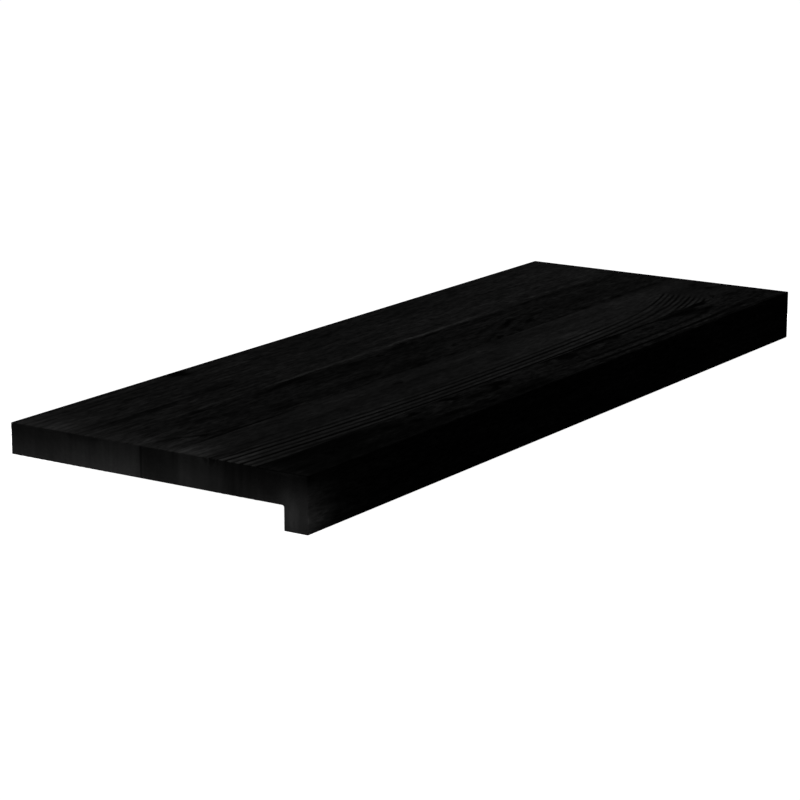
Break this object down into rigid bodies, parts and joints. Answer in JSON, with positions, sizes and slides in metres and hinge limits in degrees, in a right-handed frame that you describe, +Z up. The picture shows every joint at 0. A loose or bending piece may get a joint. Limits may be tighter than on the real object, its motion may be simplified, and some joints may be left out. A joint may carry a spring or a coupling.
{
  "type": "stair tread",
  "caption": "Black-stained solid-wood stair tread: a flat panel of wooden strips glued edge to edge, with a deeper front nosing that makes an L-shaped end.",
  "frame": {"origin": "the middle of the bounding box's floor: under the centre of the tread, level with the foot of the nosing", "axes": "+X along the step to its right end, +Y to the rear edge where the next riser stands, +Z up out of the walking surface"},
  "size_m": [0.8, 0.285, 0.0455],
  "materials": {
    "black_stained_wood": "matte black stain, with the grain showing"
  },
  "bodies": {
    "root": {"rear_stave": "black_stained_wood", "rear_centre_stave": "black_stained_wood", "front_centre_stave": "black_stained_wood", "nosing_stave": "black_stained_wood"}
  },
  "joints": []
}
